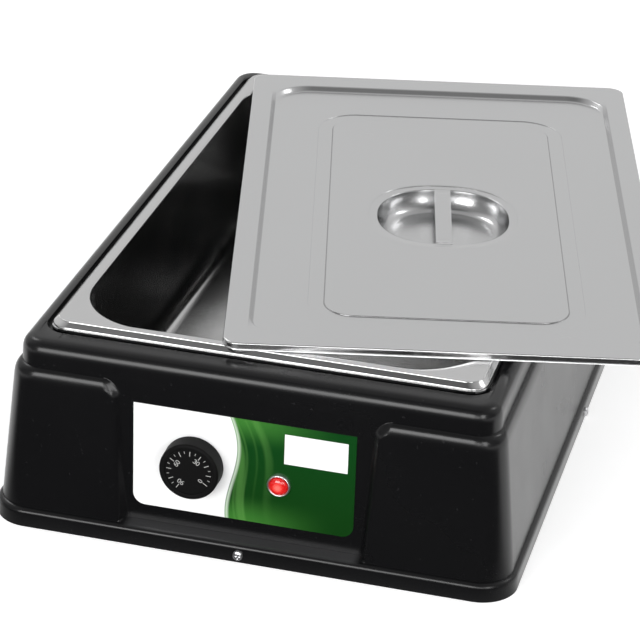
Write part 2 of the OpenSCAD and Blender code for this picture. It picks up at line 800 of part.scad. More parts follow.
module terminal_screws() {
  color([0.8, 0.72, 0.45])
  for (i = [-1 : 1])
    translate([block_x + i * block_pitch, block_y, plate_top + block_h - 5])
      difference() {
        cylinder(d = 5 - 2 * slip, h = 2.6);
        translate([-2.5, -0.4, 1.6]) cube([5, 0.8, 2]);
      }
}

// Insulated leads from the block to the thermostat and the lamp
lead_d = 2.4;
lead_r = 8;
lead_z = plate_top + lead_d / 2;
lead_start = block_y - block_l / 2;
lead_up_y = inner_y + thermo_l - 8;
lamp_up_y = inner_y + lamp_l - 4;
lamp_turn_y = block_y;

// Lead that lies on the plate along Y and rises at the front, at sideways place x, up to height z
module rising_lead(x, y_up, y_back, z) {
  translate([x, 0, lead_z]) along_y(lead_d, y_up + lead_r, y_back);
  translate([x, y_up + lead_r, lead_z + lead_r]) rotate([180, 90, 0]) elbow(lead_d, lead_r);
  translate([x, y_up, lead_z + lead_r]) cylinder(d = lead_d, h = z - lead_z - lead_r);
}

module wire_leads() {
  color([0.35, 0.22, 0.14]) {
    for (x = [-1, 1])
      rising_lead(block_x + x * block_pitch, lead_up_y, lead_start, knob_z - thermo_h / 2);
    rising_lead(lamp_x, lamp_up_y, lamp_turn_y - lead_r, lamp_z - lamp_body_d / 2);
    translate([lamp_x - lead_r, lamp_turn_y - lead_r, lead_z]) elbow(lead_d, lead_r);
    translate([0, lamp_turn_y, lead_z]) along_x(lead_d, block_x + block_w / 2, lamp_x - lead_r);
  }
}

module earth_stud() {
  color([0.78, 0.7, 0.42])
  translate([earth_x, earth_y, 0]) cylinder(d = earth_d, h = 14);
}

module earth_nut() {
  color([0.78, 0.7, 0.42])
  translate([earth_x, earth_y, plate_top])
    difference() {
      cylinder(d = 8, h = nut_t, $fn = 6);
      translate([0, 0, -cut_over]) cylinder(d = earth_d + 2 * slip, h = nut_t + 2 * cut_over);
    }
}

// Inlet gland for the supply cord, in a spot face of the back wall
module cable_gland() {
  color([0.06, 0.06, 0.06])
  translate([gland_x, 0, gland_z])
    difference() {
      union() {
        along_y(gland_d, back_inner - 8, gland_face);
        translate([0, gland_face, 0]) rotate([-90, 0, 0]) cylinder(d = gland_flange_d, h = gland_flange_t, $fn = 6);
      }
      along_y(gland_bore_d, back_inner - 8 - cut_over, gland_face + gland_flange_t + cut_over);
    }
}

module gland_nut() {
  color([0.08, 0.08, 0.08])
  translate([gland_x, 0, gland_z])
    difference() {
      translate([0, back_inner - gland_nut_t, 0])
        rotate([-90, 0, 0]) cylinder(d = gland_flange_d, h = gland_nut_t, $fn = 6);
      along_y(gland_d + 2 * slip, back_inner - gland_nut_t - cut_over, back_inner + cut_over);
    }
}

// Chamfer between the pan's turned down edge and its flat rim
rim_chamfer = 2.8;
module melting_pan() {
  color([0.75, 0.76, 0.78])
  loft([for (s = tub_path(pan_open_w, pan_open_l, open_r, pan_slope, pan_t, pan_z, rim_z,
    pan_w / 2, pan_l / 2, rim_r, lip_h - pan_t, rim_chamfer, 2.2, floor_bend)) ring(s, 7)]);
}

// Lid values in its own frame, whose zero lies at the foot of the turned down edge
lid_r = 12;
field_y = -6;
field_r = 34;
field_slope = 3;
panel_y_off = -15.3;
panel_w = 103;
panel_l = 202;
panel_r = 34;
panel_slope = 12;
lid_round = 1.8;
lid_top = lid_h;
bowl_y = -18.3;
bowl_bead = 0.8;
bowl_bead_w = 4.5;
bowl_flat = 4;

lid_path = let (
  t = lid_t,
  low = 0,
  c0 = [70, 150, 20, panel_rise, panel_y_off],
  c1 = [panel_w - panel_slope, panel_l - panel_slope, panel_r - panel_slope, panel_rise, panel_y_off],
  c2 = [panel_w, panel_l, panel_r, low, panel_y_off],
  c3 = [field_w, field_l, field_r, low, field_y],
  c4 = [field_w + field_slope, field_l + field_slope, field_r + field_slope, lid_top - t, field_y],
  c5 = [pan_w / 2 - t, pan_l / 2 - t, lid_r - t, lid_top - t, 0],
  c6 = [pan_w / 2 - t, pan_l / 2 - t, lid_r - t, low, 0],
  c7 = [pan_w / 2, pan_l / 2, lid_r, low, 0],
  c8 = [pan_w / 2, pan_l / 2, lid_r, lid_top, 0],
  d4 = c4 + [0, 0, 0, t, 0],
  d3 = c3 + [0, 0, 0, t, 0],
  d2 = c2 + [0, 0, 0, t, 0],
  d1 = c1 + [0, 0, 0, t, 0],
  d0 = c0 + [0, 0, 0, t, 0])
  concat([c0, c1, c2], bend(c2, c3, c4, 1.5, 2), [c4, c5, c6, c7],
    bend(c7, c8, d4, lid_round, 3), bend(c8, d4, d3, 1.5, 2), bend(d4, d3, d2, 1.5, 2), [d2, d1, d0]);

// Places children in the lid's frame on the pan
module on_pan() {
  translate([lid_x, lid_y, rim_z]) rotate([0, 0, lid_turn]) children();
}

// Section of the finger bowl, a dished hollow with a fine bead around its mouth
bowl_side = 4;
bowl_floor = lid_t;
// Depth of the dish below the straight side at radius x, from its middle out
function dish(x) = (bowl_depth - bowl_side) * (1 - pow(x, 2.6));
bowl_steps = 9;
bowl_top = panel_rise + lid_t;
bowl_inside = [for (i = [0 : bowl_steps]) [bowl_r * i / bowl_steps, bowl_top - bowl_side - dish(i / bowl_steps)]];
bowl_under = [for (i = [bowl_steps : -1 : 0])
  [(bowl_r + lid_t) * i / bowl_steps, bowl_top - bowl_side - dish(i / bowl_steps) - bowl_floor]];
bowl_mouth = [[bowl_r, bowl_top], [bowl_r + 1.2, bowl_top + bowl_bead], [bowl_r + bowl_bead_w - 1.2, bowl_top + bowl_bead],
  [bowl_r + bowl_bead_w, bowl_top], [bowl_r + bowl_bead_w + bowl_flat, bowl_top],
  [bowl_r + bowl_bead_w + bowl_flat, bowl_top - lid_t], [bowl_r + lid_t, bowl_top - lid_t]];

module lid_plate() {
  color([0.75, 0.76, 0.78])
  on_pan() {
    difference() {
      loft([for (s = lid_path) ring(s, 6)]);
      translate([0, bowl_y, -lid_h]) cylinder(r = bowl_r + bowl_bead_w + bowl_flat - 0.5, h = 3 * lid_h);
    }
    translate([0, bowl_y, 0])
      rotate_extrude() polygon(concat(bowl_inside, bowl_mouth, bowl_under));
  }
}

// Flat strap across the bowl, its ends held on the bowl's straight side
module lid_strap() {
  color([0.75, 0.76, 0.78])
  on_pan()
    translate([0, bowl_y, bowl_top - strap_t - 0.4])
      intersection() {
        translate([-strap_w / 2, -bowl_r, 0]) cube([strap_w, 2 * bowl_r, strap_t]);
        cylinder(r = bowl_r - 2 * slip, h = strap_t);
      }
}

housing_shell();
base_plate();
base_screws();
clip_nuts();
heating_well();
well_screws();
heater_mat();
insulation_pad();
hold_plate();
well_studs();
stud_nuts();
safety_cutout();
sensor_bulb();
bulb_clips();
capillary_tube();
thermostat_body();
thermostat_screws();
thermostat_shaft();
thermostat_knob();
control_label();
lamp_bezel();
lamp_lens();
lamp_body();
lamp_nut();
terminal_block();
terminal_screws();
wire_leads();
earth_stud();
earth_nut();
cable_gland();
gland_nut();
melting_pan();
lid_plate();
lid_strap();
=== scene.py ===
"""Looks of the chocolate melting tank: fine surfaces over the CAD frame, materials, light and camera.

Lengths are millimetres in the frame of the CAD source and become metres when a mesh is made. X points to
the right, Y to the back and Z up, and the zero is the middle of the base plate's underside.
"""
import json
import math

import bpy
import numpy as np
from mathutils import Matrix


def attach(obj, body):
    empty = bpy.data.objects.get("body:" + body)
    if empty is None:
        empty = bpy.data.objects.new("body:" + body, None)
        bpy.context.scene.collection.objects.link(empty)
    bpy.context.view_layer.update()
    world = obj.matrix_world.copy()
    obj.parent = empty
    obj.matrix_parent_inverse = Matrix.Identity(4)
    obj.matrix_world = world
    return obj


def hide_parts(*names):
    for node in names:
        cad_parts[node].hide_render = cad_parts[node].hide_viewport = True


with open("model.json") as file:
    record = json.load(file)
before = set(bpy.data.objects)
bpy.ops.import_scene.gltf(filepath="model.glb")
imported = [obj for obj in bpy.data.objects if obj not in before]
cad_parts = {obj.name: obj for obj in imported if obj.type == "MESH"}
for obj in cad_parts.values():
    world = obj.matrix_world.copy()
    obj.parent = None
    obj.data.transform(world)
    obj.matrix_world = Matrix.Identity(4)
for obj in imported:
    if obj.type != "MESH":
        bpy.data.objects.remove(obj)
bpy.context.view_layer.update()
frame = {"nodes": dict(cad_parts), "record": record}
MM = 0.001

# Sizes shared with the CAD source: half widths and half depths, heights, places as (x, z)
PAN_W, PAN_L, PAN_Y, RIM_Z = 162.5, 265.0, 4.0, 152.0
HALF_W, HALF_D = 197.5, 300.0
TOP_Z, SHOULDER_Z, LEDGE_Z = 146.5, 125.0, 13.5
SEAT_Z, GROOVE_Z = 145.5, 142.3
BAY_X, BAY_HALF, BAY_LEAN = -4.0, 91.0, 0.065
PANEL_Y, LABEL_T = -287.4, 0.4
LABEL_Y = PANEL_Y - LABEL_T
KNOB, LAMP, GLAND = (-42.0, 69.0), (22.0, 62.5), (-70.0, 39.5)
LID_PLACE, LID_TURN = (65.5, 32.0), math.radians(13.6)

# Outlines pressed into the lid, in its own frame: half width, half depth, corner radius, offset in Y
PANEL_W, PANEL_L, PANEL_R, PANEL_OFF = 91.0, 190.0, 22.0, -15.3
FIELD_W, FIELD_L, FIELD_R, FIELD_OFF = 141.7, 242.0, 31.0, -6.0
# The step around the field widens by this much on its way up
STEP_X, STEP_Y = 3.5, 4.2


# Meshes

def put(name, data):
    """A new object in the scene around a mesh, a light or a camera."""
    obj = bpy.data.objects.new(name, data)
    bpy.context.scene.collection.objects.link(obj)
    return obj


def piece(name, points, faces, material, body, stands_for=(), sharp=38):
    """A smooth mesh from points in millimetres that rides on a body and may stand for CAD nodes."""
    mesh = bpy.data.meshes.new(name)
    mesh.from_pydata(np.reshape(points, (-1, 3)) * MM, [], [list(map(int, f)) for f in faces])
    mesh.polygons.foreach_set("use_smooth", np.ones(len(mesh.polygons), bool))
    mesh.update()
    mesh.set_sharp_from_angle(angle=math.radians(sharp))
    mesh.materials.append(material)
    obj = put(name, mesh)
    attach(obj, body)
    if stands_for:
        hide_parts(*stands_for)


def skin(rows, cols, wrap_rows=False, wrap_cols=True):
    """Quads over a grid of points, row after row; rows and columns may close on themselves."""
    j = np.arange(rows if wrap_rows else rows - 1)[:, None]
    i = np.arange(cols if wrap_cols else cols - 1)[None, :]
    a, b = j * cols + i, j * cols + (i + 1) % cols
    up = ((j + 1) % rows) * cols
    return np.stack([a, b, up + (i + 1) % cols, up + i], -1).reshape(-1, 4)


# A section is (half width, half depth, corner radius, height, offset in Y) of a rounded rectangle.

def bend(a, p, b, cut, n):
    """Sections of a rounded turn at p between straight ways to a and b, as a quadratic curve.

    It starts and ends at the distance cut from p, or at two distances.
    """
    a, p, b = (np.asarray(v, float) for v in (a, p, b))
    first, last = np.broadcast_to(cut, 2)
    s = p + (a - p) * first / np.hypot(*(a - p)[[0, 3]])
    e = p + (b - p) * last / np.hypot(*(b - p)[[0, 3]])
    t = np.linspace(0, 1, n + 1)[:, None]
    return (1 - t) ** 2 * s + 2 * t * (1 - t) * p + t ** 2 * e


def ways(*runs, near=0.8, mid=3):
    """Joins runs of sections.

    A long straight way between two runs gets a section near both ends and some in between.
    """
    out = [np.atleast_2d(runs[0])]
    for run in runs[1:]:
        run = np.atleast_2d(np.asarray(run, float))
        a, b = out[-1][-1], run[0]
        length = np.linalg.norm((b - a)[[0, 1, 3]])
        if length > 3 * near:
            t = np.concatenate([[near / length], np.linspace(0, 1, mid + 2)[1:-1], [1 - near / length]])
            t = np.unique(np.clip(t, 0, 1))[:, None]
            out.append(a + (b - a) * t)
        out.append(run)
    return np.vstack(out)


def way(path, near=0.8):
    """Sections along a path of (section, turn) pairs.

    A turn is the cut and the number of steps of a bend, or None where the path stays sharp.
    """
    at = [section for section, _ in path]
    return ways(*(section if turn is None else bend(at[k - 1], section, at[k + 1], *turn)
                  for k, (section, turn) in enumerate(path)), near=near)


def corner_ring(s, arc, side, end):
    """One ring of points per section, counter-clockwise from the right front corner.

    Each corner has arc steps, the straight sides have side points along Y and end points along X.
    """
    hw, hd, r, z, off = (c[:, None] for c in s.T)
    a = np.linspace(0, math.pi / 2, arc + 1)[None, :]
    xs, ys = [], []
    for k, (sx, sy, along_x, along_y, count) in enumerate((
            (1, -1, 0, 1, side), (1, 1, -1, 0, end), (-1, 1, 0, -1, side), (-1, -1, 1, 0, end))):
        q = a + (k - 1) * math.pi / 2
        xs.append(sx * (hw - r) + r * np.cos(q))
        ys.append(off + sy * (hd - r) + r * np.sin(q))
        t = np.linspace(-1, 1, count + 2)[None, 1:-1]
        xs.append(abs(along_y) * sx * hw + along_x * t * (hw - r))
        ys.append(off + abs(along_x) * sy * hd + along_y * t * (hd - r))
    x, y = np.hstack(xs), np.hstack(ys)
    return np.stack([x, y, np.broadcast_to(z, x.shape)], -1)


def facing_front(points, x, y, z):
    """Turns a part whose axis is Z so that it points out of the front, to minus Y, at (x, y, z)."""
    p = points.reshape(-1, 3)
    return np.stack([x + p[:, 0], y - p[:, 2], z + p[:, 1]], -1)


ROUND_STEPS = 96


def turned(name, profile, place, y, material, body, node, sharp, closed=False):
    """A turned piece on the front, with its foot at the depth y and its axis at a place (x, z).

    The surface is (r cos a, r sin a, h) for the (r, h) pairs of the profile, which may close on itself.
    """
    a = np.linspace(0, 2 * math.pi, ROUND_STEPS, endpoint=False)
    r, h = np.asarray(profile, float).T[..., None]
    p = np.stack([r * np.cos(a), r * np.sin(a), np.broadcast_to(h, (len(r), ROUND_STEPS))], -1)
    faces = skin(len(r), ROUND_STEPS, wrap_rows=closed)
    piece(name, facing_front(p, place[0], y, place[1]), faces, material, body, (node,), sharp)


def on_lid(points):
    """Places points from the lid's own frame, whose zero is the foot of its edge, on the pan."""
    p = points.reshape(-1, 3)
    c, s = math.cos(LID_TURN), math.sin(LID_TURN)
    return np.stack([LID_PLACE[0] + c * p[:, 0] - s * p[:, 1], LID_PLACE[1] + s * p[:, 0] + c * p[:, 1],
                     RIM_Z + p[:, 2]], -1)


# Shading helpers

class Field:
    """A number that varies over a surface, put together from Math nodes."""

    def __init__(self, tree, socket):
        self.tree, self.socket = tree, socket

    def math(self, operation, *others):
        n = self.tree.nodes.new("ShaderNodeMath")
        n.operation = operation
        for k, v in enumerate((self,) + others):
            if isinstance(v, Field):
                self.tree.links.new(v.socket, n.inputs[k])
            else:
                n.inputs[k].default_value = v
        return Field(self.tree, n.outputs[0])

    def __add__(self, o):
        return self.math("ADD", o)

    def __sub__(self, o):
        return self.math("SUBTRACT", o)

    def __mul__(self, o):
        return self.math("MULTIPLY", o)

    def __truediv__(self, o):
        return self.math("DIVIDE", o)

    def high(self, o):
        return self.math("MAXIMUM", o)

    def low(self, o):
        return self.math("MINIMUM", o)

    def size(self):
        return self.math("ABSOLUTE")

    def power(self, o):
        return self.math("POWER", o)

    def wave(self):
        return self.math("SINE")

    def flip(self):
        """One minus the field."""
        return self.math("MULTIPLY_ADD", -1.0, 1.0)

    def rise(self, a, b):
        """Smooth step from 0 at a to 1 at b."""
        n = self.tree.nodes.new("ShaderNodeMapRange")
        n.interpolation_type = "SMOOTHSTEP"
        self.tree.links.new(self.socket, n.inputs["Value"])
        n.inputs["From Min"].default_value, n.inputs["From Max"].default_value = min(a, b), max(a, b)
        f = Field(self.tree, n.outputs["Result"])
        return f if a < b else f.flip()


def noise(tree, place, scale, detail=2.0, stretch=(1, 1, 1), turn=0.0):
    """Noise with about scale waves per metre, stretched along the axes after a turn about Z."""
    m = tree.nodes.new("ShaderNodeMapping")
    m.inputs["Scale"].default_value = stretch
    m.inputs["Rotation"].default_value = (0, 0, turn)
    tree.links.new(place, m.inputs["Vector"])
    n = tree.nodes.new("ShaderNodeTexNoise")
    n.inputs["Scale"].default_value, n.inputs["Detail"].default_value = scale, detail
    tree.links.new(m.outputs[0], n.inputs["Vector"])
    return Field(tree, n.outputs[0])


def handling_marks():
    """A node group that all worn surfaces share: soft clouds of handling, sparse specks and fine scuffs."""
    tree = bpy.data.node_groups.new("handling marks", "ShaderNodeTree")
    tree.interface.new_socket("Place", in_out="INPUT", socket_type="NodeSocketVector")
    place = tree.nodes.new("NodeGroupInput").outputs["Place"]
    cloud = noise(tree, place, 9.0, 4.0)
    speck = noise(tree, place, 420.0, 1.0).rise(0.72, 0.80)
    scuff = noise(tree, place, 60.0, 3.0, (1.0, 14.0, 14.0)).rise(0.60, 0.74)
    marks = {"Cloud": cloud.rise(0.3, 0.7), "Speck": speck, "Scuff": scuff * cloud.rise(0.45, 0.65)}
    for key in marks:
        tree.interface.new_socket(key, in_out="OUTPUT", socket_type="NodeSocketFloat")
    out = tree.nodes.new("NodeGroupOutput")
    for key, field in marks.items():
        tree.links.new(field.socket, out.inputs[key])
    return tree


HANDLING = handling_marks()


class Paint:
    """A material with one Principled shader and short ways to feed it."""

    def __init__(self, name, color, rough, metal=0.0, **constants):
        self.mat = bpy.data.materials.new(name)
        self.mat.use_nodes = True
        self.tree = self.mat.node_tree
        self.shader = self.tree.nodes["Principled BSDF"]
        values = {"Base Color": (*color, 1.0), "Roughness": rough, "Metallic": metal, **constants}
        for key, value in values.items():
            self.shader.inputs[key].default_value = value
        self.coords = self.tree.nodes.new("ShaderNodeTexCoord").outputs["Object"]

    def axes(self):
        """Place on the surface in millimetres as three fields."""
        n = self.tree.nodes.new("ShaderNodeSeparateXYZ")
        self.tree.links.new(self.coords, n.inputs[0])
        return [Field(self.tree, o) * (1 / MM) for o in n.outputs]

    def noise(self, *shape):
        return noise(self.tree, self.coords, *shape)

    def marks(self):
        """Outputs of the shared handling marks as fields."""
        n = self.tree.nodes.new("ShaderNodeGroup")
        n.node_tree = HANDLING
        self.tree.links.new(self.coords, n.inputs["Place"])
        return {o.name: Field(self.tree, o) for o in n.outputs}

    def mix(self, field, a, b):
        """Colour between a and b; either may be a colour or the result of another mix."""
        n = self.tree.nodes.new("ShaderNodeMix")
        n.data_type = "RGBA"
        self.tree.links.new(field.socket, n.inputs["Factor"])
        for key, v in ((6, a), (7, b)):
            if isinstance(v, bpy.types.NodeSocket):
                self.tree.links.new(v, n.inputs[key])
            else:
                n.inputs[key].default_value = (*v, 1.0)
        return n.outputs[2]

    def feed(self, key, value):
        socket = value.socket if isinstance(value, Field) else value
        self.tree.links.new(socket, self.shader.inputs[key])

    def bump(self, field, height_mm):
        """Relief of the given height in millimetres where the field is 1."""
        n = self.tree.nodes.new("ShaderNodeBump")
        n.inputs["Distance"].default_value = height_mm * MM
        n.inputs["Strength"].default_value = 1.0
        self.tree.links.new(field.socket, n.inputs["Height"])
        self.tree.links.new(n.outputs[0], self.shader.inputs["Normal"])


def grey(value):
    """A colour with three equal parts."""
    return (value, value, value)


# Materials

def black_plastic():
    """Formed black sheet with a soft gloss: faint clouds of handling, a few dusty specks, orange peel.

    A paler patch is painted on the floor of the bay as painted sheen, where it should look lit.
    """
    black, dust_and_sheen = (0.0045, 0.0045, 0.005), (0.06, 0.06, 0.062)
    peel = 0.03
    p = Paint("gloss black sheet", black, 0.3, **{"Specular IOR Level": 0.36})
    m = p.marks()
    x, y, z = p.axes()
    # painted sheen: the bay's floor in front of the panel is painted paler; the same pale colour serves the
    # dusty specks
    floor = (x - BAY_X).size().rise(BAY_HALF, BAY_HALF - 8) * z.rise(LEDGE_Z + 8, LEDGE_Z + 2)
    floor = floor * y.rise(1 - HALF_D, 4 - HALF_D) * y.rise(PANEL_Y + 0.6, PANEL_Y - 1)
    painted_sheen = floor * (m["Cloud"] * 0.2 + 0.75)
    p.feed("Base Color", p.mix((m["Speck"] * 0.22).high(painted_sheen), black, dust_and_sheen))
    p.feed("Roughness", m["Cloud"] * 0.06 + m["Scuff"] * 0.015 + 0.22)
    p.bump(p.noise(38.0), peel)
    return p.mat


def steel(name, color, rough, turn=0.0, lines=0.05):
    """Rolled sheet with fine lines along X after a turn about Z; its sheen varies by lines and handling."""
    groove = 0.0015
    p = Paint(name, color, rough, 1.0)
    m = p.marks()
    line = p.noise(1.0, 3.0, (14.0, 800.0, 800.0), turn)
    p.feed("Roughness", line * (2 * lines) + m["Cloud"] * 0.04 + m["Scuff"] * 0.008 + (rough - lines))
    p.bump(line, groove)
    return p


def lid_steel():
    """Satin sheet with painted shade: a thin dark line painted along the panel's crease, and darker steps
    at both sides.

    The line lies where the distance to the panel's rounded outline is near zero, in the lid's own frame.
    """
    sheet, painted_shade = (0.61, 0.612, 0.615), grey(0.2)
    crease_share, step_share = 0.6, 0.45
    step_end = FIELD_L - FIELD_R
    p = steel("satin steel sheet", sheet, 0.22, -LID_TURN, 0.03)
    x, y, _ = p.axes()
    x, y = x - LID_PLACE[0], y - LID_PLACE[1]
    c, s = math.cos(LID_TURN), math.sin(LID_TURN)
    aside, ahead = (x * c + y * s).size(), y * c - x * s
    across = (aside - (PANEL_W - PANEL_R)).high(0.0)
    along = ((ahead - PANEL_OFF).size() - (PANEL_L - PANEL_R)).high(0.0)
    gap = (across * across + along * along).power(0.5) - PANEL_R
    # painted shade: the crease and the field's side steps are painted darker, where shade and dark
    # reflections fall
    crease = gap.size().rise(0.75, 0.2)
    step = (aside - (FIELD_W + STEP_X / 2)).size().rise(0.6 * STEP_X, 0.4 * STEP_X)
    step = step * (ahead - FIELD_OFF).size().rise(step_end + 25, step_end - 5)
    p.feed("Base Color", p.mix((crease * crease_share).high(step * step_share), sheet, painted_shade))
    return p.mat


def pan_steel():
    """Bright rolled sheet, painted darker down inside the pan as shade, unevenly in soft clouds."""
    bright, inner_shade = grey(0.62), (0.47, 0.47, 0.465)
    p = steel("bright rolled steel", bright, 0.17, 0.0, 0.03)
    _, _, z = p.axes()
    cloud = p.noise(26.0, 3.0, (1.0, 0.5, 1.0)).rise(0.42, 0.66)
    # painted shade: the sheet turns darker from just under the rim down inside the pan, in soft clouds
    p.feed("Base Color", p.mix(z.rise(RIM_Z - 1, RIM_Z - 24) * (cloud * 0.6 + 0.25), bright, inner_shade))
    return p.mat


def well_steel():
    """Satin sheet of the heated well; the edge of its flange is painted black, as painted shadow in the gap
    around the pan's lip.
    """
    sheet, black = (0.58, 0.585, 0.59), grey(0.004)
    flange_foot = 140.0
    p = steel("satin well steel", sheet, 0.35)
    x, y, z = p.axes()
    # painted shadow: a black, non-metal band on the flange's edge stands for the dark gap beside the pan's
    # lip
    edge = (x.size() - PAN_W).high((y - PAN_Y).size() - PAN_L).rise(-0.9, -0.7)
    edge = edge * z.rise(flange_foot, flange_foot + 1)
    p.feed("Base Color", p.mix(edge, sheet, black))
    p.feed("Metallic", edge.flip())
    return p.mat


def label_print():
    """White field left of a slanted wave, green field right of it with soft light bands, bare white panel.

    With v from -1 to 1 up the label, the wave is x = 7 sin(2.1 v + 0.5) - 4 v - 15.
    """
    white, shade = grey(0.93), (0.74, 0.75, 0.75)
    deep, low_deep = (0.002, 0.050, 0.006), (0.004, 0.036, 0.002)
    glowing, banded, rimmed = (0.05, 0.22, 0.03), (0.12, 0.34, 0.07), (0.55, 0.66, 0.52)
    mid_z, half_h = 70.0, 41.5
    window_x, window_z, window_w, window_h, soft = 48.7, 92.5, 23.4, 12.0, 0.2
    p = Paint("printed label", grey(0.9), 0.3, **{"Specular IOR Level": 0.25})
    x, _, z = p.axes()
    v = (z - mid_z) / half_h
    d = x - ((v * 2.1 + 0.5).wave() * 7.0 - v * 4.0 - 15.0)
    glow = v.size().rise(0.45, 1.05) * d.rise(84.0, 2.0)
    band = (d * 0.30 + v * 2.4).wave().rise(0.3, 1.0) * d.rise(40.0, 3.0) * 0.6
    thin = (d * 0.85 + v * 5.0).wave().rise(0.5, 1.0) * d.rise(26.0, 1.0) * 0.35
    rim = d.rise(3.6, 1.2) * d.rise(0.0, 1.0)
    green = p.mix(v.rise(1.0, -1.0) * 0.6, deep, low_deep)
    for share, tone in ((glow * 0.8, glowing), ((band + thin).low(1.0) * 0.6, banded), (rim * 0.8, rimmed)):
        green = p.mix(share, green, tone)
    art = p.mix(d.rise(-0.4, 0.4), p.mix(d.rise(-30.0, 0.0) * 0.4, white, shade), green)
    inside = (x - window_x).size().rise(window_w + soft, window_w - soft)
    inside = inside * (z - window_z).size().rise(window_h + soft, window_h - soft)
    p.feed("Base Color", p.mix(inside, art, white))
    p.bump(p.noise(500.0), 0.004)
    return p.mat


def lit_lens():
    """Clear red plastic over a lit bulb: a pale glow in the middle that falls off to deep red."""
    deep, pale, flutes = (0.20, 0.001, 0.001), (0.95, 0.20, 0.16), 2.6
    p = Paint("lit red lens", (0.50, 0.008, 0.008), 0.12, **{"Emission Strength": 1.0, "Coat Weight": 0.6})
    x, _, z = p.axes()
    r = ((x - LAMP[0]).power(2.0) + (z - LAMP[1]).power(2.0)).power(0.5)
    flute = (x * flutes).wave() * (z * flutes).wave()
    p.feed("Emission Color", p.mix((r + flute * 0.5).rise(4.6, 0.6), deep, pale))
    p.feed("Roughness", flute * 0.05 + 0.14)
    return p.mat


def plain(name, color, rough, metal=0.0, mark=0.25, grain=0.01, **constants):
    """Moulded, felted or turned stuff: colour and sheen vary softly, with a fine grain."""
    p = Paint(name, color, rough, metal, **constants)
    m = p.marks()
    p.feed("Base Color", p.mix(m["Cloud"] * mark, color, tuple(c * 0.72 for c in color)))
    p.feed("Roughness", m["Cloud"] * 0.10 + (rough - 0.05))
    p.bump(p.noise(900.0), grain)
    return p.mat


BLACK = black_plastic()
LID_STEEL = lid_steel()
PAN_STEEL = pan_steel()
KNOB_BLACK = plain("satin black knob", grey(0.005), 0.55, 0.0, 0.3, 0.012, **{"Specular IOR Level": 0.1})
PRINT_WHITE = plain("white dial print", (0.45, 0.45, 0.44), 0.6)
LABEL = label_print()
LENS = lit_lens()
CHROME = plain("polished ring", (0.86, 0.87, 0.88), 0.34, 1.0, 0.1, 0.002)
STUFF = {
    "black_plastic": BLACK, "pan_steel": PAN_STEEL, "lid_steel": LID_STEEL, "satin_steel": well_steel(),
    "knob_plastic": KNOB_BLACK, "label_film": LABEL, "lamp_chrome": CHROME, "red_lens": LENS,
    "bright_steel": plain("plated screw", (0.62, 0.62, 0.63), 0.28, 1.0, 0.3, 0.004),
    "zinc_sheet": plain("zinc plated sheet", (0.50, 0.51, 0.52), 0.45, 1.0, 0.4, 0.004),
    "heater_rubber": plain("orange silicone mat", (0.62, 0.20, 0.07), 0.6, 0.0, 0.3, 0.03),
    "mineral_felt": plain("mineral felt", (0.78, 0.74, 0.62), 0.95, 0.0, 0.5, 0.3),
    "cream_plastic": plain("cream moulding", (0.80, 0.77, 0.68), 0.5),
    "copper": plain("drawn copper", (0.70, 0.36, 0.20), 0.3, 1.0, 0.4, 0.004),
    "brass": plain("turned brass", (0.72, 0.55, 0.24), 0.28, 1.0, 0.3, 0.004),
    "lead_sleeve": plain("brown lead sleeve", (0.24, 0.13, 0.07), 0.5),
    "gland_plastic": plain("black gland moulding", grey(0.02), 0.5)}
for row in frame["record"]["subparts"]:
    node = frame["nodes"][row["node"]]
    node.data.materials.clear()
    node.data.materials.append(STUFF[row["material_slot"]])


# Housing

# Sections from the foot of the skirt up to the flat top
S_FOOT = (HALF_W, HALF_D, 28, 0, 0)
S_EDGE = (HALF_W, HALF_D, 28, LEDGE_Z, 0)
S_LEDGE = (194.0, 295.7, 24, LEDGE_Z + 1, 0)
S_SHOULDER = (183, 292, 21, SHOULDER_Z, 0)
S_COLLAR = (178.4, 287.4, 19, SHOULDER_Z + 2, 0)
S_TOP = (177.6, 286.6, 18.2, TOP_Z, 0)
S_FLAT = (165.1, 274.1, 5.7, TOP_Z, 0)
# Outlines inside: half width, half depth, corner radius
POCKET = (PAN_W + 4.4, PAN_L + 4.4, 18.4)
SEAT = (PAN_W + 0.8, PAN_L + 0.8, 14.8)
HOLE = (PAN_W - 6.3, PAN_L - 6.3, 50)
COLLAR_IN, SKIRT_IN = (174.1, 283.9, 15.5), (193.9, 296.4, 24.4)
WALL_IN_TOP, WALL_IN_FOOT, WALL_IN_OFF = (179.5, 285.9, 15.5), (188, 285.9, 15.5), 2.05
UNDER_GROOVE_Z, COLLAR_IN_Z, WALL_IN_Z, LEDGE_IN_Z = GROOVE_Z - 3.5, 122, 117, 12
# The bay: width of its edge's curve, radius of its upper corners, height where its half width holds
BAY_RUN, BAY_TOP_R, BAY_HALF_Z = 8.0, 14.0, LEDGE_Z + 13
# Heights between which the bay's floor runs back to the panel
BAY_FLOOR = (LEDGE_Z + 0.9, LEDGE_Z + 2.1)
# Places across the front: the zone of fine columns about the bay's edge, and the end of the boss
ZONE_IN, ZONE_OUT, BOSS_END = BAY_HALF - 6, BAY_HALF + 28, 150
# Spot face of the gland: radius, width of its edge, depth, least depth of the back wall, half zone
SPOT_R, SPOT_EDGE, SPOT_Y, BACK_Y, SPOT_ZONE = 14.6, 1.2, 291.5, 288, 18


def swell(t):
    """Cosine step from 0 to 1: (1 - cos(pi t)) / 2."""
    return (1 - np.cos(math.pi * np.clip(t, 0, 1))) / 2


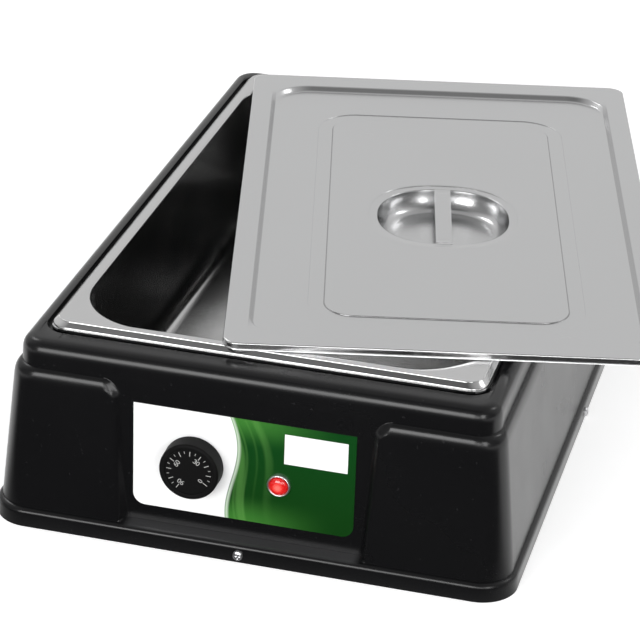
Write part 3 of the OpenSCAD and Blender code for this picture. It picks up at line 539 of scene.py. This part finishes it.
def boss_share(x, z):
    """Share of the boss's depth at a front point: 0 in the bay, 1 on the bosses beside it.

    The edge leans out with the height and turns into the shoulder round a corner of radius BAY_TOP_R.
    """
    side = np.abs(x - BAY_X) - BAY_HALF - BAY_LEAN * (z - BAY_HALF_Z) + BAY_RUN / 2
    top = np.maximum(S_COLLAR[3] - z, 1e-3)
    round_corner = BAY_TOP_R - np.hypot(BAY_TOP_R - side, BAY_TOP_R - top)
    inside = np.where((side < BAY_TOP_R) & (top < BAY_TOP_R), round_corner, side)
    full = swell(np.minimum(top, BAY_RUN) / BAY_RUN)
    return np.where(side < BAY_TOP_R, np.clip(swell(inside / BAY_RUN) / full, 0, 1), 1.0)


def housing_rings(s, has_bay):
    """Housing sections as rings: a rounded rectangle whose front edge steps back into the bay."""
    hw, hd, r, z, off = (c[:, None] for c in s.T)
    u = np.clip((z - BAY_FLOOR[0]) / (BAY_FLOOR[1] - BAY_FLOOR[0]), 0, 1)
    back = np.minimum(hd, -PANEL_Y + (hd + PANEL_Y) * (1 - u))
    back = np.where(has_bay[:, None], back, hd)
    a = np.linspace(0, math.pi / 2, 21)[None, :]
    t = np.linspace(-1, 1, 32)[None, 1:-1]
    xs, ys = [], []

    def add(x, y):
        n = max(np.shape(x)[1], np.shape(y)[1])
        xs.append(np.broadcast_to(x, (len(s), n)))
        ys.append(np.broadcast_to(y, (len(s), n)))

    def corner(sx, sy, start):
        q = a + start
        add(sx * (hw - r) + r * np.cos(q), off + sy * (hd - r) + r * np.sin(q))

    corner(1, -1, -math.pi / 2)
    add(hw, off + t * (hd - r))
    corner(1, 1, 0)
    # back edge: coarse, then about one column per millimetre across the gland's spot face, then coarse
    first, last = GLAND[0] + SPOT_ZONE, GLAND[0] - SPOT_ZONE
    w = np.linspace(0, 1, 16)[None, 1:]
    add((hw - r) + (first - hw + r) * w, off + hd)
    add(np.linspace(first, last, 41)[None, 1:], off + hd)
    add(last + (-(hw - r) - last) * w[:, :-1], off + hd)
    corner(-1, 1, math.pi / 2)
    add(-hw, off - t * (hd - r))
    corner(-1, -1, math.pi)
    # front edge: boss, edge zone, bay, edge zone, boss, with the same places across in every ring
    boss = np.linspace(ZONE_OUT, BOSS_END, 8)[1:-1]
    zone = np.linspace(ZONE_IN, ZONE_OUT, 69)
    across = BAY_X + np.concatenate([
        -boss[::-1], -zone[::-1], np.linspace(-ZONE_IN, ZONE_IN, 30)[1:-1], zone, boss])[None, :]
    add(across, off - back - (hd - back) * boss_share(across, z))
    x, y = np.hstack(xs), np.hstack(ys)
    p = np.stack([x, y, np.broadcast_to(z, x.shape)], -1)
    # flat spot face for the gland, sunk into the sloped back wall
    depth = swell((SPOT_R - np.hypot(x - GLAND[0], p[..., 2] - GLAND[1])) / SPOT_EDGE)
    sunk = (y > BACK_Y) & has_bay[:, None]
    p[..., 1] = np.where(sunk, y + (np.minimum(y, SPOT_Y) - y) * depth, y)
    return p


def housing():
    """Formed shell as one closed skin: up the outside, over the collar, down the pocket and back inside."""
    def wall(z):
        t = (np.asarray(z, float) - S_LEDGE[3]) / (SHOULDER_Z - S_LEDGE[3])
        return np.asarray(S_LEDGE) + (np.asarray(S_SHOULDER) - S_LEDGE) * t[:, None]

    # rows of the wall: close together at the bay's floor and edge, far apart halfway up
    low = np.concatenate([
        np.linspace(LEDGE_Z + 1.2, BAY_FLOOR[1], 6), np.linspace(LEDGE_Z + 2.6, LEDGE_Z + 16, 32),
        np.linspace(31, 60, 30)[1:], [75, 88]])
    high = np.linspace(96, SHOULDER_Z - 10, 20)
    outer = ways(S_FOOT, bend(S_FOOT, S_EDGE, S_LEDGE, 3.4, 12), S_LEDGE, wall(low), wall(high),
                 bend(S_LEDGE, S_SHOULDER, S_COLLAR, (9, 4.6), 24), S_COLLAR,
                 bend(S_COLLAR, S_TOP, S_FLAT, 10.5, 20))
    pocket_edge = ((0.9, 0), (0.5, 0.08), (0.2, 0.3), (0.04, 0.6), (0, 0.9))
    inner = np.array([
        *((POCKET[0] + out, POCKET[1] + out, POCKET[2] + out, TOP_Z - down, PAN_Y)
          for out, down in pocket_edge),
        (*POCKET, GROOVE_Z, PAN_Y), (*SEAT, GROOVE_Z, PAN_Y), (*SEAT, SEAT_Z, PAN_Y),
        (*HOLE, SEAT_Z, PAN_Y), (*HOLE, UNDER_GROOVE_Z, PAN_Y), (*COLLAR_IN, UNDER_GROOVE_Z, 0),
        (*COLLAR_IN, COLLAR_IN_Z, 0), (*WALL_IN_TOP, WALL_IN_Z, WALL_IN_OFF),
        (*WALL_IN_FOOT, LEDGE_IN_Z, WALL_IN_OFF), (*SKIRT_IN, LEDGE_IN_Z, 0), (*SKIRT_IN, 0, 0)])
    s = np.vstack([outer, inner])
    p = housing_rings(s, np.arange(len(s)) < len(outer))
    piece("housing", p, skin(*p.shape[:2], wrap_rows=True), BLACK, "housing",
          ("housing_shell",), 56)


housing()


# Pan

PAN_T, PAN_DEPTH, PAN_SLOPE, PAN_R, RIM_W = 0.8, 100.0, 8.0, 58.0, 11.5
# Turned lip: its height, the height and lean of its upright part, the small step at the rim's edge
LIP_H, LIP_TURN, LIP_LEAN, LIP_STEP, LIP_TIP = 5.3, 3.7, 0.42, 0.55, 0.25
FLOOR_TURN, RIM_TURN = 14.0, 2.2
# The skin closes along a short line in the middle of the floor
SPINE = (0.02, 120, 0.01)


def pan():
    """Drawn pan as one closed sheet: floor's underside, wall, under the rim, round the lip, down inside."""
    t, floor = PAN_T, RIM_Z - PAN_DEPTH
    flat = LIP_TURN + LIP_LEAN

    def wall(out, z):
        return PAN_W - RIM_W + out, PAN_L - RIM_W + out, PAN_R + out, z, PAN_Y

    def edge(out, r, z):
        return PAN_W + out, PAN_L + out, r, z, PAN_Y

    s = way([
        ((*SPINE, floor, PAN_Y), None),
        (wall(-PAN_SLOPE, floor), (FLOOR_TURN, 14)),
        (wall(t, RIM_Z - t), (RIM_TURN, 6)),
        (edge(-flat - t, 11, RIM_Z - t), None),
        (edge(-t, 13.2, RIM_Z - LIP_H), None),
        (edge(0, 14, RIM_Z - LIP_H), None),
        (edge(-LIP_LEAN, 13.4, RIM_Z - LIP_TURN), (0.3, 5)),
        (edge(LIP_TIP - flat, 12, RIM_Z - LIP_STEP), (0.2, 4)),
        (edge(-flat, 11.8, RIM_Z), (0.25, 4)),
        (wall(0, RIM_Z), (RIM_TURN, 10)),
        (wall(-PAN_SLOPE - t, floor + t), (FLOOR_TURN, 16)),
        ((*SPINE, floor + t, PAN_Y), None)])
    p = corner_ring(s, 26, 40, 26)
    piece("pan", p, skin(*p.shape[:2], wrap_rows=True), PAN_STEEL, "pan", ("melting_pan",), 40)


pan()


# Lid

LID_T, LID_H, LID_R = 0.9, 5.2, 12.0
# Turned edge: how far it flares out at its foot, corner radius above, height of the flare
FLARE, HEM_R, HEM_Z = 0.4, 11.7, 1.1
# Heights of the sheet's underside, and the channel around the panel: ways out from the panel's outline
PANEL_RISE, FIELD_RISE = 0.8, 0.55
CREASE_TOP, CREASE_FOOT, CHANNEL_FOOT, CHANNEL_TOP = -0.2, 0.1, 11.9, 12.2
PANEL_TOP = PANEL_RISE + LID_T
# Outline inside the panel from which the skin goes over to the rings of the bowl
PANEL_IN = (70, 150, 20)
BOWL_R, BOWL_Y, BOWL_DEPTH, BOWL_POWER = 52.0, -19.0, 17.0, 2.3
RING_SINK, RING_W, RING_ROLL = 0.6, 7.2, 1.2


def bowl():
    """Section of the finger bowl from its middle outwards, as (radius, height) pairs.

    A crowned floor turns up round an arc, and the side grows steeper up to the bowl's edge.
    """
    edge, crown, turn_r, shrink = 1.2, 0.5, 10.0, 0.4
    first, last = np.radians((57.0, 86.0))
    lift = BOWL_DEPTH - edge - turn_r * (1 - np.cos(first))
    slope, rise = np.linspace(first, last, 14), np.linspace(0, lift, 14)
    run = np.concatenate([[0], np.cumsum(np.diff(rise) / np.tan((slope[1:] + slope[:-1]) / 2))])
    foot = BOWL_R - shrink - run[-1]
    flat = foot - turn_r * np.sin(first)
    share = np.linspace(0.001, 0.97, 8)
    a = np.linspace(0, first, 12)[:-1]
    pairs = np.vstack([np.stack([flat * share, crown * (1 - share ** 2)], -1),
                       np.stack([flat + turn_r * np.sin(a), turn_r * (1 - np.cos(a))], -1),
                       np.stack([foot + run, BOWL_DEPTH - edge - lift + rise], -1)])
    return pairs + (0, PANEL_TOP - BOWL_DEPTH)


def lid():
    """Pressed lid as one closed sheet: bowl, sunk ring, panel, channel, field, rim, edge and underside."""
    def panel(out, z):
        return PANEL_W + out, PANEL_L + out, PANEL_R + out, z, PANEL_OFF

    def edge(out, z):
        return PAN_W + out, PAN_L + out, LID_R + out, z, 0

    rim_z = LID_H - LID_T
    # the sheet's underside from the panel to the rim, with the turns of its upper side
    sheet = [
        ((*PANEL_IN, PANEL_RISE, PANEL_OFF), None),
        (panel(CREASE_TOP, PANEL_RISE), (0.4, 4)),
        (panel(CREASE_FOOT, 0), (0.35, 4)),
        (panel(CHANNEL_FOOT, 0), (0.2, 4)),
        (panel(CHANNEL_TOP, FIELD_RISE), (0.25, 4)),
        ((FIELD_W, FIELD_L, FIELD_R, FIELD_RISE, FIELD_OFF), (0.9, 8)),
        ((FIELD_W + STEP_X, FIELD_L + STEP_Y, FIELD_R + STEP_X, rim_z, FIELD_OFF), (0.8, 8))]
    hem = (PAN_W - FLARE, PAN_L - FLARE, HEM_R)
    turned_down = [((*hem, LID_H, 0), (1.4, 8)), ((*hem, HEM_Z, 0), None), (edge(0, 0), None),
                   (edge(-LID_T, 0), None), (edge(-LID_T, rim_z), None)]
    top = way([(np.asarray(c) + (0, 0, 0, LID_T, 0), turn) for c, turn in sheet] + turned_down, near=0.5)
    back = [c for c, _ in sheet[::-1]]
    under = way([turned_down[-1], (back[0], (0.8, 5)), (back[1], (1.2, 5)), *((c, None) for c in back[2:])])
    outer = corner_ring(np.vstack([top, under[1:]]), 16, 44, 28)
    # sunk ring: round edge of the bowl, flat ring, short steep step up to the panel
    q = np.linspace(0, math.pi / 2, 8)
    roll = np.stack([RING_ROLL * (1 - np.cos(q)), RING_ROLL * (np.sin(q) - 1) - RING_SINK], -1)
    ring = np.vstack([[(-0.15, -2.6)], roll, [
        (RING_W - 0.6, -RING_SINK), (RING_W - 0.35, -0.52), (RING_W - 0.15, -0.1), (RING_W + 0.1, 0),
        (RING_W + 3, 0)]]) + (BOWL_R, PANEL_TOP)
    dish = bowl()
    below = np.vstack([dish + (LID_T / 2, -LID_T),
                       [(BOWL_R + LID_T, PANEL_RISE - RING_SINK), (BOWL_R + RING_W + 3, PANEL_RISE)]])
    below[0, 0] = dish[0, 0]
    # seen from above the bowl is a blunt circle: |x| ** n + |y| ** n = r ** n
    ref = outer[0, :, :2] - (0, BOWL_Y)
    ref /= (np.abs(ref) ** BOWL_POWER).sum(1, keepdims=True) ** (1 / BOWL_POWER)

    def round_about(pairs):
        r, h = pairs.T[..., None]
        return np.stack([r * ref[:, 0], BOWL_Y + r * ref[:, 1], np.broadcast_to(h, (len(h), len(ref)))], -1)

    p = np.concatenate([round_about(np.vstack([dish, ring])), outer, round_about(below[::-1])])
    piece("lid", on_lid(p), skin(*p.shape[:2]), LID_STEEL, "lid", ("lid_plate",), 46)


lid()

STRAP_W, STRAP_T, STRAP_BEVEL, STRAP_GAP = 6.5, 0.75, 0.4, 0.3
WELD_DEPTH, WELD_W, WELD_L, WELD_AT = 0.5, 2.2, 0.018, (0.05, 0.95)


def strap():
    """Grip strap: a flat bar with rounded edges across the bowl, with a weld dimple near each end.

    Its section is the superellipse (w |cos q| ** 0.12, t |sin q| ** 0.4) with the signs of cos and sin.
    """
    t = np.linspace(0, 1, 121)
    y = BOWL_Y + (2 * t - 1) * (BOWL_R - STRAP_GAP)
    q = np.linspace(0, 2 * math.pi, 49)[:-1]
    cx = STRAP_W * np.sign(np.cos(q)) * np.abs(np.cos(q)) ** 0.12
    cz = STRAP_T * np.sign(np.sin(q)) * np.abs(np.sin(q)) ** 0.4
    dip = -WELD_DEPTH * sum(np.exp(-((t - at) / WELD_L) ** 2) for at in WELD_AT)
    weld = np.exp(-(cx / WELD_W) ** 2)[None, :] * dip[:, None] * (cz > 0)[None, :]
    shape = (len(t), len(q))
    p = np.stack([np.broadcast_to(cx, shape), np.broadcast_to(y[:, None], shape),
                  PANEL_TOP - STRAP_T + cz[None, :] + weld], -1)
    bevel = STRAP_BEVEL * (1 + cz / STRAP_T)
    p[0, :, 1] += bevel
    p[-1, :, 1] -= bevel
    first = np.arange(len(q))
    faces = skin(*shape)[:, ::-1].tolist() + [first.tolist(), (t.size * q.size - 1 - first).tolist()]
    piece("grip_strap", on_lid(p), faces, LID_STEEL, "lid", ("lid_strap",), 50)


strap()


# Knob, lamp and print

AXIS = 0.01
KNOB_R, KNOB_H, KNOB_GAP, KNOB_DRAFT, KNOB_ROUND = 22.5, 13.5, 1.0, 0.2, 2.0
HUB_R, HOLLOW_R, HOLLOW_H = 6.4, 19.8, 9.5
DIAL_R, DIAL_SINK = 17.8, 1.1
KNOB_FOOT_Y = LABEL_Y - KNOB_GAP
DIAL_Y = KNOB_FOOT_Y - KNOB_H + DIAL_SINK


def knob():
    """Turned knob, hollow behind: nearly straight side, rounded front ring, dial sunk inside the ring."""
    a = np.linspace(0, math.pi / 2, 12)
    top_r, ring_r, dial = KNOB_R - KNOB_DRAFT, KNOB_R - KNOB_DRAFT - KNOB_ROUND, KNOB_H - DIAL_SINK
    hollow = [(AXIS, 0), (HUB_R, 0), (HUB_R + 0.1, HOLLOW_H), (HOLLOW_R - 0.1, HOLLOW_H), (HOLLOW_R, 0)]
    side = [(KNOB_R - 0.3, 0), (KNOB_R, 0), (KNOB_R, 0.5), (KNOB_R - 0.05, 2), (top_r, 11.3)]
    edge = np.stack([ring_r + KNOB_ROUND * np.cos(a), KNOB_H - KNOB_ROUND + KNOB_ROUND * np.sin(a)], -1)
    face = [(ring_r - 1, KNOB_H - 0.05), (DIAL_R + 0.3, KNOB_H - 0.3), (DIAL_R, dial), (12, dial),
            (AXIS, dial)]
    turned("knob", np.vstack([hollow, side, edge, face]), KNOB, KNOB_FOOT_Y, KNOB_BLACK, "knob",
           "thermostat_knob", 40)


knob()


def ribbon(path, half):
    """Flat ribbon of a half width along a path of points in a plane: two rows of points and their quads."""
    path = np.asarray(path, float)
    d = np.gradient(path, axis=0)
    n = np.stack([-d[:, 1], d[:, 0]], -1) / np.linalg.norm(d, axis=1)[:, None]
    return np.vstack([path - n * half, path + n * half]), skin(2, len(path), wrap_cols=False)


def arc(cx, cy, rx, ry, a0, a1, n=17):
    """Points of an ellipse's arc between two angles in degrees."""
    a = np.radians(np.linspace(a0, a1, n))
    return np.stack([cx + rx * np.cos(a), cy + ry * np.sin(a)], -1)


# Strokes of the numbers, about one unit high around their middle
DIGITS = {
    "0": [arc(0, 0, 0.28, 0.46, 0, 360, 29)],
    "3": [arc(0, 0.23, 0.26, 0.23, 160, -90), arc(0, -0.24, 0.28, 0.24, 90, -160)],
    "6": [arc(0, -0.2, 0.28, 0.27, 0, 360, 29), arc(0.26, -0.2, 0.54, 0.68, 180, 96)],
    "9": [arc(0, 0.2, 0.28, 0.27, 0, 360, 29), arc(-0.26, 0.2, 0.54, 0.68, 0, -84)]}
DIGIT_R, DIGIT_H, DIGIT_PITCH, DIGIT_HALF = 10.6, 3.4, 2.6, 0.24
# Ticks: where they end, and where they start and their half widths at full tens and between
TICK_END, TICK_TENS, TICK_FIVES = 16.8, (13.0, 0.25), (14.9, 0.19)
SCALE_START, SCALE_TURN, INK_T = -33, 3, 0.03


def dial_print():
    """Scale of the dial: ticks every five from 0 to 90 over 270 degrees and four numbers set radially."""
    points, faces, count = [], [], 0

    def add(path, half):
        nonlocal count
        p, f = ribbon(path, half)
        points.append(p)
        faces.append(f + count)
        count += len(p)

    def outward(value):
        a = math.radians(SCALE_START + SCALE_TURN * value)
        return np.array([math.cos(a), math.sin(a)])

    for value in range(0, 91, 5):
        start, half = TICK_FIVES if value % 10 else TICK_TENS
        add(outward(value) * np.linspace(start, TICK_END, 5)[:, None], half)
    for value in (0, 30, 60, 90):
        out = outward(value)
        left = np.array([-out[1], out[0]])
        text = str(value)
        for k, ch in enumerate(text):
            shift = (k - (len(text) - 1) / 2) * DIGIT_PITCH
            for path in DIGITS[ch]:
                q = path * DIGIT_H
                add(out * (DIGIT_R + q[:, 1:]) - left * (shift + q[:, :1]), DIGIT_HALF)
    flat = np.vstack(points)
    p = facing_front(np.column_stack([flat, np.full(len(flat), INK_T)]), KNOB[0], DIAL_Y, KNOB[1])
    piece("dial_print", p, np.vstack(faces), PRINT_WHITE, "knob")


dial_print()

LAMP_R, LAMP_HOLE, LENS_R, LENS_FOOT, LENS_DOME = 8.75, 6.9, 6.75, 1.9, 3.05
ROLL_R, ROLL_W, ROLL_H, ROLL_Z = 7.85, 0.9, 1.3, 1.2


def lamp():
    """Pilot lamp: ring with a rolled edge and a domed lens."""
    a = np.linspace(0, math.pi, 14)
    roll = np.stack([ROLL_R + ROLL_W * np.cos(a), ROLL_Z + ROLL_H * np.sin(a)], -1)
    ring = np.vstack([[(LAMP_HOLE, 0), (LAMP_R, 0), (LAMP_R, ROLL_Z - 0.1)], roll, [(LAMP_HOLE, 1)]])
    turned("lamp_ring", ring, LAMP, LABEL_Y, CHROME, "housing", "lamp_bezel", 50, True)
    b = np.linspace(0, math.pi / 2, 16)[1:-1]
    dome = np.stack([LENS_R * np.cos(b), LENS_FOOT + LENS_DOME * np.sin(b)], -1)
    lens = np.vstack([[(AXIS, 0), (LENS_R, 0), (LENS_R, LENS_FOOT)], dome, [(AXIS, LENS_FOOT + LENS_DOME)]])
    turned("lamp_dome", lens, LAMP, LABEL_Y, LENS, "housing", "lamp_lens", 50)


lamp()


# Floor, light and camera, in metres

def pale_floor():
    """White floor that looks evenly lit; the part before the tank is dark in reflections."""
    half, lift, black = 6.0, grey(0.50), grey(0.0)
    mesh = bpy.data.meshes.new("floor")
    corners = [(-half, -half, 0), (half, -half, 0), (half, half, 0), (-half, half, 0)]
    mesh.from_pydata(corners, [], [(0, 1, 2, 3)])
    floor = put("floor", mesh)
    p = Paint("pale floor", grey(0.92), 0.9, **{"Emission Strength": 1.0, "Specular IOR Level": 0.0})
    x, y, _ = p.axes()
    path = p.tree.nodes.new("ShaderNodeLightPath")
    seen, mirrored = (Field(p.tree, path.outputs[k]) for k in ("Is Camera Ray", "Is Glossy Ray"))
    front = y.rise(-240.0, -330.0) * (x.size() + y * 0.35).rise(900.0, 300.0)
    pale = p.mix(p.noise(0.6, 1.0), grey(0.93), grey(0.90))
    p.feed("Base Color", p.mix(mirrored * front * 0.97, pale, black))
    p.feed("Emission Color", p.mix(seen.high(mirrored * front.flip()), black, lift))
    mesh.materials.append(p.mat)


def studio():
    """White surround for the camera; as a light it is brightest behind the tank and dim before it."""
    base, overhead, low_sky, front_fill = 0.04, 0.42, 0.30, 0.26
    world = bpy.data.worlds.new("studio")
    bpy.context.scene.world = world
    world.use_nodes = True
    tree = world.node_tree
    look = tree.nodes.new("ShaderNodeTexCoord")
    parts = tree.nodes.new("ShaderNodeSeparateXYZ")
    tree.links.new(look.outputs["Generated"], parts.inputs[0])
    back, up = (Field(tree, parts.outputs[k]) for k in (1, 2))
    sky = (back + up * 0.35).rise(-0.1, 0.35) * (up.rise(0.95, 0.60) * low_sky + overhead) + base
    sky = sky + up.rise(0.94, 0.84) * back.rise(0.05, -0.25) * front_fill
    path = tree.nodes.new("ShaderNodeLightPath")
    bright = sky.high(Field(tree, path.outputs["Is Camera Ray"]))
    tree.links.new(bright.socket, tree.nodes["Background"].inputs["Color"])


AIM = (0, 0, 0.12)
# Soft boxes aimed at the tank: place, width and height, power in watts
SOFTBOXES = {
    "left front": ((-0.75, -3.1, 1.2), (1.9, 1.4), 60),
    "middle front": ((0.8, -3.1, 0.95), (0.84, 1.0), 12),
    "right front": ((1.9, -2.6, 1.2), (0.9, 1.4), 26),
    "left back": ((-1.9, 1.3, 2.5), (0.6, 0.9), 8),
    "right back": ((2.1, 1.2, 2.5), (0.6, 0.9), 8)}


def softbox(name, place, size, power):
    """A rectangular light whose upper edge stays level."""
    data = bpy.data.lights.new(name, "AREA")
    data.shape, data.size, data.size_y, data.energy = "RECTANGLE", size[0], size[1], power
    z = np.asarray(place, float) - AIM
    z /= np.linalg.norm(z)
    x = np.cross((0, 0, 1), z)
    x /= np.linalg.norm(x)
    m = np.eye(4)
    m[:3, 0], m[:3, 1], m[:3, 2], m[:3, 3] = x, np.cross(z, x), z, place
    put(name, data).matrix_world = Matrix(m.tolist())


# Camera fitted to the photo: place, turn, tilt and roll in degrees, lens, sensor, shift of the middle
CAM_PLACE, CAM_ANGLES = (0.4739, -1.9938, 1.0669), (-13.99, 26.30, 2.15)
CAM_LENS, CAM_SENSOR, CAM_SHIFT = 158.74, 36.0, (-1.5 / 640, 1.6 / 640)


def camera():
    """The photo's view; the rows of the rotation are the picture's right, down and away."""
    yaw, pitch, roll = (math.radians(v) for v in CAM_ANGLES)
    cy, sy, cp, sp, cr, sr = (f(v) for v in (yaw, pitch, roll) for f in (math.cos, math.sin))
    turn = np.array([[cy, -sy, 0], [sy, cy, 0], [0, 0, 1]])
    tilt = np.array([[1, 0, 0], [0, -sp, -cp], [0, cp, -sp]])
    rot = np.array([[cr, -sr, 0], [sr, cr, 0], [0, 0, 1]]) @ tilt @ turn
    m = np.eye(4)
    m[:3, 0], m[:3, 1], m[:3, 2], m[:3, 3] = rot[0], -rot[1], -rot[2], CAM_PLACE
    data = bpy.data.cameras.new("photo view")
    data.sensor_width, data.lens = CAM_SENSOR, CAM_LENS
    data.shift_x, data.shift_y = CAM_SHIFT
    obj = put("photo view", data)
    obj.matrix_world = Matrix(m.tolist())
    bpy.context.scene.camera = obj


pale_floor()
studio()
for box_name, box in SOFTBOXES.items():
    softbox(box_name, *box)
camera()
bpy.context.scene.view_settings.view_transform = "Standard"
